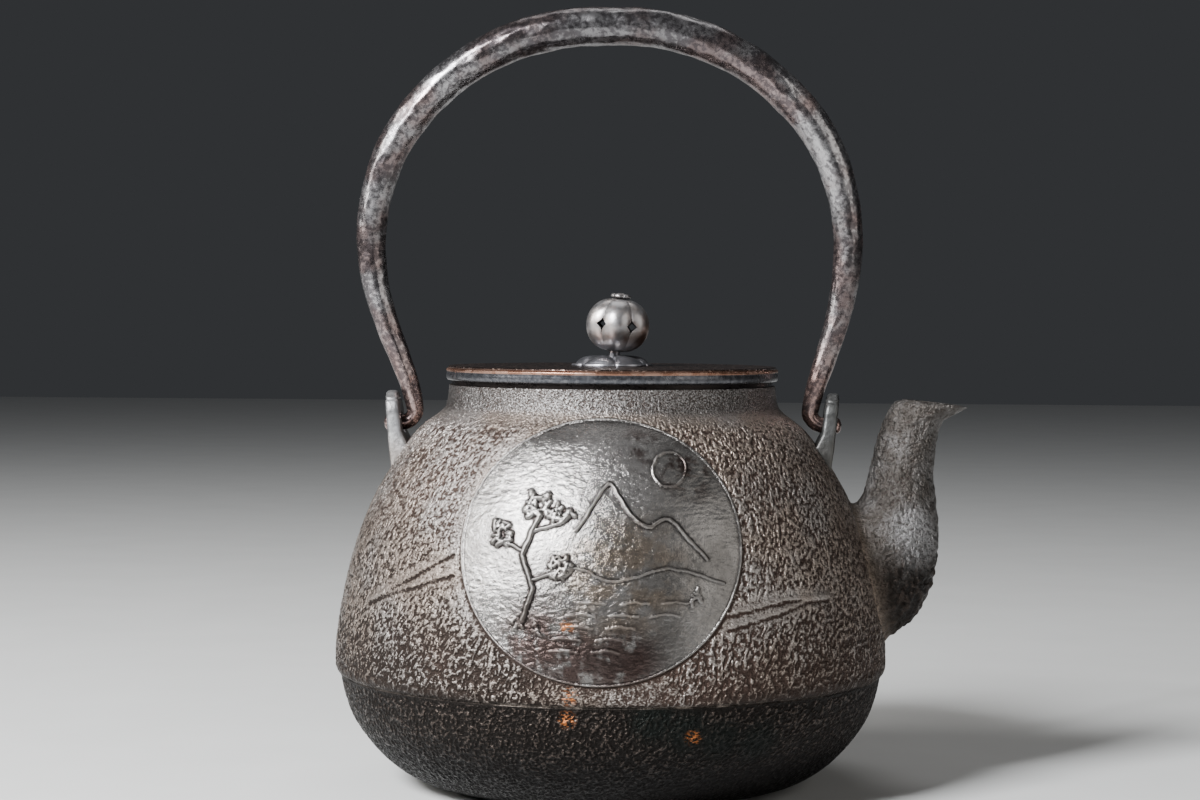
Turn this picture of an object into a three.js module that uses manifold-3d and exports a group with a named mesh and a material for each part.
// Japanese cast iron kettle (tetsubin) with an upright bail handle and a bronze lid with a pierced knob.
// Millimetres, +Z up. The origin is the centre of the base on the kettle's axis, the spout points along +X,
// and the side with the cast picture faces -Y.
import * as THREE from 'three';
import { mergeVertices } from 'three/addons/utils/BufferGeometryUtils.js';
import Module from 'manifold-3d';

const wasm = await Module();
wasm.setup();

// ---- driving dimensions ----
const CLEARANCE = 0.3; // gap between neighbouring pieces

const BELT_RADIUS = 75.0; // widest point of the body, just above the belt
const BELT_HEIGHT = 31.4;
const BELT_STEP = 1.5; // how far the lower body is set in under the belt
const BASE_RADIUS = 42.0; // flat resting face
const WALL = 3.2; // body wall
const NECK_RADIUS = 44.6;
const NECK_TOP = 108.8;
const BODY_SIDES = 48;

const EAR_TOP = 107.0;
const EAR_TOP_RADIUS = 6.5; // rounded top of the ear, seen along the hinge axis
const EAR_FOOT_HALF_WIDTH = 9.0;
const EAR_FOOT = 84.0; // lowest point of the ear before it is trimmed to the shoulder
const EAR_HOLE_RADIUS = 3.1;
const EAR_INNER_X = 53.0; // faces of the ear at its foot, from the kettle's axis
const EAR_OUTER_X = 59.4;

// Stations up the spout: the inner (kettle side) and outer ends of each section, and its half width.
const SPOUT_STATIONS = [
  { inner: [62.0, 75.0], outer: [69.0, 40.0], halfWidth: 15.0 },
  { inner: [66.6, 76.4], outer: [76.5, 41.6], halfWidth: 14.6 },
  { inner: [69.0, 80.0], outer: [83.0, 46.0], halfWidth: 13.6 },
  { inner: [70.2, 83.8], outer: [87.2, 54.6], halfWidth: 12.2 },
  { inner: [70.9, 87.4], outer: [89.3, 65.0], halfWidth: 10.8 },
  { inner: [71.5, 90.4], outer: [88.9, 75.5], halfWidth: 9.6 },
  { inner: [72.1, 93.0], outer: [87.9, 84.5], halfWidth: 8.6 },
  { inner: [73.0, 96.0], outer: [88.6, 93.0], halfWidth: 7.9 },
  { inner: [74.4, 99.6], outer: [90.0, 98.8], halfWidth: 7.5 },
  { inner: [76.0, 103.0], outer: [93.2, 101.4], halfWidth: 7.3 },
  { inner: [77.8, 105.8], outer: [96.8, 103.4], halfWidth: 7.2 },
];
const SPOUT_WALL = 2.2;
const BORE_OVERRUN = 6; // the bore's cutting tool runs on this far past both ends of the spout

const HINGE_HEIGHT = 98.2; // axis through both ear holes
const HOOK_RADIUS = 2.1; // hooked ends of the handle
const HOOK_BEND = 3.6; // centre-line radius of the bend into the ear
const HOOK_LEG_X = 54.2; // the legs come down just inside the ears
const HOOK_END_X = 62.8;
const HOOK_CLEAR = 2; // the legs start to thicken this far above the hinge axis
const THICKENING = 0.72; // below 1, the legs thicken quickly and the arch slowly
const GRIP_RADIUS = 5.3; // thickest point, at the top of the arch
const GRIP_HEIGHT = 206.7;
const ARCH_LEAN = -1.2; // the hand-bent arch sits this far away from the spout
const ARCH_LEAN_FROM = 8; // the lean comes in between these heights above the hinge axis
const ARCH_LEAN_TO = 48;

const LID_RADIUS = 45.4;
const LID_RIM_TOP = 113.1;
const LID_RIM_BOTTOM = 110.1;
const LID_TOP = 114.1; // the flat top stands up from the rim
const LID_TOP_RADIUS = 44.9; // and is set in from it all round
const LID_UNDERSIDE = 111.4; // at the pin
const LID_SEAT_RADIUS = 43.9; // step inside the neck's line
const COLLAR_RADIUS = 40.8; // locating ring that drops into the neck
const COLLAR_WALL = 1.6;
const COLLAR_BOTTOM = 102.0;
const LID_SIDES = 48;

const SEAT_RADIUS = 11.2; // petal seat between lid and knob
const SEAT_TOP = 116.5;
const SEAT_HOLE_RADIUS = 2.6;
const SEAT_PETALS = 6;
const SEAT_NOTCH = 0.12; // depth of the notches between petals, as a share of the radius

// The knob and its pin lean to one side, because the pin is slack in the lid's hole. Their heights are
// measured along the pin from PIN_PIVOT, the middle of that hole.
const PIN_PIVOT = 112.5;
const KNOB_LEAN = THREE.MathUtils.degToRad(6.5); // towards the spout
const PIN_RADIUS = 1.5;
const PIN_HOLE_RADIUS = 2.1;
const PIN_BOTTOM = -4.9;
const WASHER_RADIUS = 4.8;
const WASHER_TOP = -1.9;
const WASHER_THICKNESS = 1.0;
const KNOB_RADIUS = 9.2; // at the lobes
const KNOB_HALF_HEIGHT = 7.4;
const KNOB_CENTRE = 12.8;
const KNOB_WALL = 1.1;
const KNOB_LOBES = 6;
const KNOB_GROOVE = 0.9; // depth of the grooves between the lobes
const PIERCING_RADIUS = 1.3;
const FLOWER_RADIUS = 3.0;
const FLOWER_TOP = 22.1;
const FLOWER_PETALS = 5;
const FLOWER_NOTCH = 0.25;

// ---- materials ----
const material = (color, roughness, metalness) =>
  new THREE.MeshStandardMaterial({ color, roughness, metalness });
const castIron = () => material(0x5a5049, 0.62, 0.7);
const earIron = () => material(0x77736c, 0.55, 0.7);
const forgedIron = () => material(0x6b5552, 0.42, 0.85);
const bronze = () => material(0x4a3329, 0.45, 0.85);
const silveredBrass = () => material(0x9c918a, 0.35, 0.95);

// ---- solids: joining and cutting ----
const solidOf = (geometry) => {
  const bare = geometry.clone();
  bare.deleteAttribute('normal');
  bare.deleteAttribute('uv');
  const merged = mergeVertices(bare, 1e-4);
  const vertProperties = new Float32Array(merged.attributes.position.array);
  const triVerts = new Uint32Array(merged.index.array);
  return new wasm.Manifold(new wasm.Mesh({ numProp: 3, vertProperties, triVerts }));
};

const geometryOf = (solid) => {
  const mesh = solid.getMesh();
  const geometry = new THREE.BufferGeometry();
  geometry.setAttribute('position', new THREE.BufferAttribute(new Float32Array(mesh.vertProperties), 3));
  geometry.setIndex(new THREE.BufferAttribute(new Uint32Array(mesh.triVerts), 1));
  geometry.computeVertexNormals();
  return geometry;
};

const cut = (piece, ...tools) =>
  geometryOf(tools.reduce((solid, tool) => solid.subtract(solidOf(tool)), solidOf(piece)));
const common = (a, b) => geometryOf(solidOf(a).intersect(solidOf(b)));

const named = (name, geometry, finish) => {
  const mesh = new THREE.Mesh(geometry, finish);
  mesh.name = name;
  return mesh;
};

// ---- shape helpers ----
const vectors = (pairs) => pairs.map(([a, b]) => new THREE.Vector2(a, b));

// A closed profile of (radius, height) turned about +Z.
const turned = (profile, sides) => new THREE.LatheGeometry([...profile, profile[0]], sides).rotateX(Math.PI / 2);

// A straight round bar along +Z.
const bar = (radius, bottom, top, sides = 24) =>
  new THREE.CylinderGeometry(radius, radius, top - bottom, sides)
    .rotateX(Math.PI / 2)
    .translate(0, 0, (bottom + top) / 2);

// A round bar along X, for the ear holes.
const crossBar = (radius, fromX, toX, height) =>
  new THREE.CylinderGeometry(radius, radius, Math.abs(toX - fromX), 24)
    .rotateZ(Math.PI / 2)
    .translate((fromX + toX) / 2, 0, height);

// A closed tube in the XZ plane. sectionAt(t) gives its centre, the direction that the section faces,
// its half height in the plane and its half width along Y.
const swept = (sectionAt, steps, sides) => {
  const geometry = new THREE.CylinderGeometry(1, 1, 1, sides, steps);
  const position = geometry.attributes.position;
  for (let i = 0; i < position.count; i++) {
    const { x, z, facing, halfHeight, halfWidth } = sectionAt(position.getY(i) + 0.5);
    const across = position.getZ(i) * halfHeight;
    position.setXYZ(
      i,
      x + across * Math.sin(facing),
      position.getX(i) * halfWidth,
      z - across * Math.cos(facing),
    );
  }
  return geometry;
};

const clamp01 = (t) => THREE.MathUtils.clamp(t, 0, 1);

// ---- body ----
// The body's outer side from the flat base to the top of the neck, as (radius, height).
const bodyOutline = () => {
  const bowl = new THREE.SplineCurve(
    vectors([[BASE_RADIUS, 0], [48, 0.9], [54.2, 3.1], [60.6, 7.3], [66.3, 13.3], [70.3, 19.4], [72.4, 25.0],
      [BELT_RADIUS - BELT_STEP, BELT_HEIGHT - 1.4]]),
  );
  const side = new THREE.SplineCurve(
    vectors([[BELT_RADIUS, BELT_HEIGHT], [74.7, 40], [73.3, 50], [70.7, 62], [66.4, 74.4], [60.5, 85.6],
      [53.7, 95.4], [NECK_RADIUS + 1.8, 101.9]]),
  );
  const neck = new THREE.SplineCurve(
    vectors([[NECK_RADIUS + 1.1, 103.0], [NECK_RADIUS + 0.4, 104.8], [NECK_RADIUS, NECK_TOP]]),
  );
  return [...bowl.getPoints(8), ...side.getPoints(11), ...neck.getPoints(2)];
};

// The same side moved inwards by the wall, from the neck down to the axis.
const bodyLining = () => {
  const neck = vectors([[NECK_RADIUS - WALL, NECK_TOP], [NECK_RADIUS - WALL, 104.4]]);
  const side = new THREE.SplineCurve(
    vectors([[NECK_RADIUS - WALL + 1.2, 101.6], [50.9, 93.9], [57.4, 84.4], [63.2, 73.4], [67.5, 61.4],
      [70.1, 49.4], [71.4, 39.0], [70.4, 29.0], [67.2, 20.6], [60.4, 12.0], [52.0, 6.4], [40.0, 3.8]]),
  );
  return [...neck, ...side.getPoints(10), new THREE.Vector2(0, WALL + 0.4)];
};

// A solid of the body's outside, grown by a gap: what the cast-on pieces are trimmed to.
const bodyEnvelope = (gap) => {
  const grown = bodyOutline().map((point) => new THREE.Vector2(point.x + gap, point.y));
  return turned([new THREE.Vector2(0, -1), ...grown, new THREE.Vector2(0, NECK_TOP)], BODY_SIDES);
};

const kettleBody = () => {
  const shell = turned([new THREE.Vector2(0, 0), ...bodyOutline(), ...bodyLining()], BODY_SIDES);
  return named('kettle_body', cut(shell, spoutTube(SPOUT_WALL)), castIron());
};

// ---- spout ----
const curveThrough = (key) =>
  new THREE.SplineCurve(SPOUT_STATIONS.map((station) => new THREE.Vector2(...station[key])));
const spoutInner = curveThrough('inner');
const spoutOuter = curveThrough('outer');
const spoutWidths = new THREE.SplineCurve(
  SPOUT_STATIONS.map((station, i) => new THREE.Vector2(i, station.halfWidth)),
);

// The spout's tube, thinner all round by inset; a bore also runs on past both ends.
const spoutTube = (inset) => {
  const overrun = inset > 0 ? BORE_OVERRUN : 0;
  const sectionAt = (t) => {
    const inner = spoutInner.getPoint(t);
    const outer = spoutOuter.getPoint(t);
    const facing = Math.atan2(outer.x - inner.x, inner.y - outer.y);
    const past = overrun * (Number(t === 1) - Number(t === 0));
    return {
      x: (inner.x + outer.x) / 2 + past * Math.cos(facing),
      z: (inner.y + outer.y) / 2 + past * Math.sin(facing),
      facing,
      halfHeight: inner.distanceTo(outer) / 2 - inset,
      halfWidth: spoutWidths.getPoint(t).y - inset,
    };
  };
  return swept(sectionAt, 16, 20);
};

const spout = () =>
  named('spout', cut(spoutTube(0), spoutTube(SPOUT_WALL), bodyEnvelope(CLEARANCE)), castIron());

// ---- ears ----
// A wedge of iron seen from the front, thick at the shoulder and thin at the top.
const earSide = () => {
  const section = new THREE.Shape();
  section.moveTo(EAR_INNER_X, EAR_FOOT);
  section.lineTo(EAR_OUTER_X, EAR_FOOT);
  section.lineTo(EAR_OUTER_X + 1.2, EAR_FOOT + 8);
  section.lineTo(EAR_OUTER_X + 2.7, EAR_TOP - 1);
  section.quadraticCurveTo(EAR_OUTER_X + 2.6, EAR_TOP, EAR_OUTER_X + 1.0, EAR_TOP);
  section.quadraticCurveTo(EAR_INNER_X + 5.8, EAR_TOP, EAR_INNER_X + 5.6, EAR_TOP - 1);
  section.lineTo(EAR_INNER_X + 5.1, EAR_TOP - 4.4);
  section.lineTo(EAR_INNER_X + 4.2, EAR_TOP - 11);
  section.quadraticCurveTo(EAR_INNER_X + 2.6, EAR_FOOT + 8.6, EAR_INNER_X, EAR_FOOT + 7);
  return section;
};

// The same ear seen along the hinge axis: a round-topped tongue.
const earFront = () => {
  const outline = new THREE.Shape();
  const shoulder = EAR_TOP - EAR_TOP_RADIUS;
  outline.moveTo(-EAR_FOOT_HALF_WIDTH, EAR_FOOT - 1);
  outline.lineTo(EAR_FOOT_HALF_WIDTH, EAR_FOOT - 1);
  outline.lineTo(EAR_TOP_RADIUS, shoulder);
  outline.absarc(0, shoulder, EAR_TOP_RADIUS, 0, Math.PI, false);
  return outline;
};

const extruded = (shape, depth, curveSegments) =>
  new THREE.ExtrudeGeometry(shape, { depth, bevelEnabled: false, curveSegments });

const ear = (name, side) => {
  const spare = 5; // how far the cutting and trimming shapes run past the ear
  const wedge = extruded(earSide(), 2 * EAR_FOOT_HALF_WIDTH + 2, 4)
    .translate(0, 0, -EAR_FOOT_HALF_WIDTH - 1)
    .rotateX(Math.PI / 2);
  const tongue = extruded(earFront(), EAR_OUTER_X - EAR_INNER_X + 3 * spare, 10)
    .rotateX(Math.PI / 2)
    .rotateZ(Math.PI / 2)
    .translate(EAR_INNER_X - spare, 0, 0);
  const hole = crossBar(EAR_HOLE_RADIUS, EAR_INNER_X - spare, EAR_OUTER_X + 2 * spare, HINGE_HEIGHT);
  const trimmed = cut(common(wedge, tongue), bodyEnvelope(CLEARANCE), hole);
  if (side < 0) trimmed.rotateZ(Math.PI);
  return named(name, trimmed, earIron());
};

// ---- handle ----
// Half of the arch's centre line from the top of the grip down to the leg, as (x, height).
const ARCH = [
  [0, GRIP_HEIGHT], [13.3, 206.0], [27.2, 202.2], [40.5, 195.0], [50.8, 185.8], [58.2, 175.6], [62.8, 164.6],
  [65.2, 152.0], [64.8, 140.0], [62.6, 129.0], [58.9, 117.6], [55.8, 108.8],
  [HOOK_LEG_X, HINGE_HEIGHT + HOOK_BEND],
];

// The whole centre line, hook to hook: the arch and, at each end, a quarter turn out through the ear.
const handleLine = () => {
  const hook = [30, 60, 90].map((degrees) => {
    const angle = THREE.MathUtils.degToRad(degrees);
    return [
      HOOK_LEG_X + HOOK_BEND * (1 - Math.cos(angle)),
      HINGE_HEIGHT + HOOK_BEND * (1 - Math.sin(angle)),
    ];
  });
  const half = [...ARCH, ...hook, [HOOK_END_X, HINGE_HEIGHT]];
  const lean = (z) =>
    ARCH_LEAN * THREE.MathUtils.smoothstep(z - HINGE_HEIGHT, ARCH_LEAN_FROM, ARCH_LEAN_TO);
  const right = half.map(([x, z]) => new THREE.Vector3(x + lean(z), 0, z));
  const left = half.slice(1).reverse().map(([x, z]) => new THREE.Vector3(lean(z) - x, 0, z));
  return new THREE.CatmullRomCurve3([...left, ...right], false, 'centripetal');
};

const handle = () => {
  const line = handleLine();
  const foot = HINGE_HEIGHT + HOOK_CLEAR;
  const sectionAt = (t) => {
    const point = line.getPoint(t);
    const tangent = line.getTangent(t);
    const rise = clamp01((point.z - foot) / (GRIP_HEIGHT - foot));
    const radius = HOOK_RADIUS + (GRIP_RADIUS - HOOK_RADIUS) * rise ** THICKENING;
    return {
      x: point.x,
      z: point.z,
      facing: Math.atan2(tangent.z, tangent.x),
      halfHeight: radius,
      halfWidth: radius,
    };
  };
  return named('handle', swept(sectionAt, 56, 12), forgedIron());
};

// ---- lid ----
const lidPlate = () => {
  const collarBore = COLLAR_RADIUS - COLLAR_WALL;
  const profile = vectors([
    [PIN_HOLE_RADIUS, LID_TOP], [30, LID_TOP - 0.05], [LID_TOP_RADIUS - 0.4, LID_TOP - 0.15],
    [LID_TOP_RADIUS, LID_TOP - 0.5], [LID_TOP_RADIUS, LID_RIM_TOP],
    [LID_RADIUS, LID_RIM_TOP - 0.5], [LID_RADIUS, LID_RIM_BOTTOM + 0.4], [LID_RADIUS - 0.4, LID_RIM_BOTTOM],
    [LID_SEAT_RADIUS, LID_RIM_BOTTOM], [LID_SEAT_RADIUS, NECK_TOP + 0.1], [collarBore, NECK_TOP + 0.1],
    [collarBore, LID_UNDERSIDE - 0.4], [PIN_HOLE_RADIUS, LID_UNDERSIDE],
  ]);
  return named('lid_plate', turned(profile.reverse(), LID_SIDES), bronze());
};

const lidCollar = () => {
  const top = NECK_TOP - 0.2;
  const profile = vectors([
    [COLLAR_RADIUS - COLLAR_WALL, COLLAR_BOTTOM], [COLLAR_RADIUS - 0.4, COLLAR_BOTTOM],
    [COLLAR_RADIUS, COLLAR_BOTTOM + 0.6], [COLLAR_RADIUS, top], [COLLAR_RADIUS - COLLAR_WALL, top],
  ]);
  return named('lid_collar', turned(profile, LID_SIDES), bronze());
};

// Pushes a turned piece's outline in between its petals.
const petalled = (geometry, petals, depth, reach) => {
  const position = geometry.attributes.position;
  for (let i = 0; i < position.count; i++) {
    const x = position.getX(i);
    const y = position.getY(i);
    const radius = Math.hypot(x, y);
    const notch = 1 - Math.abs(Math.cos((petals * Math.atan2(y, x)) / 2));
    const scale = 1 - depth * notch * clamp01(radius / reach) ** 3;
    position.setX(i, x * scale);
    position.setY(i, y * scale);
  }
  return geometry;
};

const knobSeat = () => {
  const foot = LID_TOP + 0.1;
  const profile = vectors([
    [SEAT_HOLE_RADIUS, foot], [SEAT_RADIUS, foot], [SEAT_RADIUS, foot + 0.5],
    [SEAT_RADIUS * 0.8, foot + 1.6], [SEAT_RADIUS * 0.45, SEAT_TOP - 0.4], [SEAT_HOLE_RADIUS, SEAT_TOP],
  ]);
  const petals = petalled(turned(profile, 6 * SEAT_PETALS), SEAT_PETALS, SEAT_NOTCH, SEAT_RADIUS);
  return named('knob_seat', petals, silveredBrass());
};

// ---- knob ----
// A lobed melon ball, scaled about its own centre.
const melon = (inset) => {
  const geometry = new THREE.SphereGeometry(1, 4 * KNOB_LOBES, 10).rotateX(Math.PI / 2);
  const position = geometry.attributes.position;
  for (let i = 0; i < position.count; i++) {
    const x = position.getX(i);
    const y = position.getY(i);
    const waist = Math.hypot(x, y);
    const lobe = Math.abs(Math.sin((KNOB_LOBES * Math.atan2(y, x)) / 2));
    const radius = KNOB_RADIUS - inset - KNOB_GROOVE * (1 - lobe) * waist;
    position.setXYZ(i, x * radius, y * radius, KNOB_CENTRE + position.getZ(i) * (KNOB_HALF_HEIGHT - inset));
  }
  return geometry;
};

// A diamond-shaped piercing in each groove, cut radially.
const knobPiercing = (i) =>
  new THREE.CylinderGeometry(PIERCING_RADIUS, PIERCING_RADIUS, KNOB_RADIUS, 4)
    .rotateX(Math.PI / 2)
    .rotateY(Math.PI / 2)
    .translate(KNOB_RADIUS * 0.8, 0, KNOB_CENTRE)
    .rotateZ((i * 2 * Math.PI) / KNOB_LOBES);

const knobShell = () => {
  const piercings = Array.from({ length: KNOB_LOBES }, (_, i) => knobPiercing(i));
  const pinHole = bar(PIN_RADIUS + CLEARANCE / 2, 0, KNOB_CENTRE);
  return named('knob_shell', cut(melon(0), melon(KNOB_WALL), pinHole, ...piercings), silveredBrass());
};

const knobFlower = () => {
  const foot = KNOB_CENTRE + KNOB_HALF_HEIGHT + 0.2;
  const profile = vectors([
    [0, foot], [FLOWER_RADIUS, foot + 0.4], [FLOWER_RADIUS, foot + 1.1], [1.2, FLOWER_TOP], [0, FLOWER_TOP],
  ]);
  const petals = petalled(turned(profile, 6 * FLOWER_PETALS), FLOWER_PETALS, FLOWER_NOTCH, FLOWER_RADIUS);
  return named('knob_flower', petals, silveredBrass());
};

// The pin runs from inside the knob down through the seat and the lid.
const knobPin = () =>
  named('knob_pin', bar(PIN_RADIUS, PIN_BOTTOM, KNOB_CENTRE - KNOB_HALF_HEIGHT + 2, 20), silveredBrass());

// The washer under the lid that keeps the pin from pulling out.
const pinWasher = () => {
  const inner = PIN_RADIUS + CLEARANCE / 2;
  const under = WASHER_TOP - WASHER_THICKNESS;
  const profile = vectors([
    [inner, under], [WASHER_RADIUS, under], [WASHER_RADIUS, WASHER_TOP], [inner, WASHER_TOP],
  ]);
  return named('pin_washer', turned(profile, 24), silveredBrass());
};

// ---- assembly ----
const castings = new THREE.Group();
castings.add(kettleBody(), spout(), ear('ear_right', 1), ear('ear_left', -1));

const lid = new THREE.Group();
lid.add(lidPlate(), lidCollar(), knobSeat());

const knob = new THREE.Group();
knob.add(knobShell(), knobFlower(), knobPin(), pinWasher());
knob.position.set(0, 0, PIN_PIVOT);
knob.rotation.y = KNOB_LEAN;

const kettle = new THREE.Group();
kettle.add(castings, handle(), lid, knob);

export default kettle;
